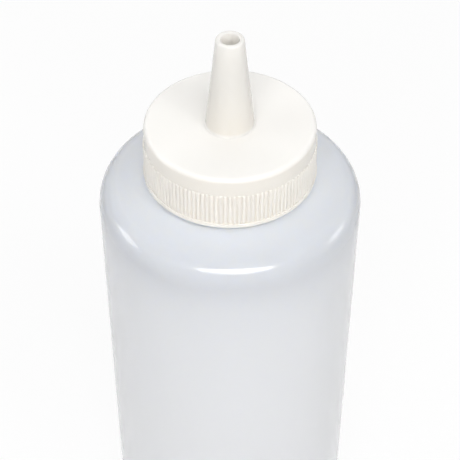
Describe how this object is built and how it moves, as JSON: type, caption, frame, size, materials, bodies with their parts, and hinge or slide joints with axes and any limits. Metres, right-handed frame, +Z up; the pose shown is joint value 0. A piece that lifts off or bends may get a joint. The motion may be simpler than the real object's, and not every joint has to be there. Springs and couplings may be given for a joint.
{
  "type": "squeeze bottle",
  "caption": "Cylindrical squeeze bottle of thin translucent plastic, with a ribbed white screw cap that rises into an open tapered nozzle.",
  "frame": {"origin": "centre of the ring that the bottle stands on", "axes": "+Z up along the bottle's axis, from the base to the nozzle's tip; the bottle is round, so +X and +Y are free and follow the thread's start"},
  "size_m": [0.0866, 0.0866, 0.2269],
  "materials": {
    "bottle": "milky translucent natural polyethylene with a soft satin gloss",
    "cap": "opaque warm white moulded polyethylene, semi-gloss"
  },
  "bodies": {
    "root": {"bottle": "bottle", "cap": "cap"}
  },
  "joints": []
}
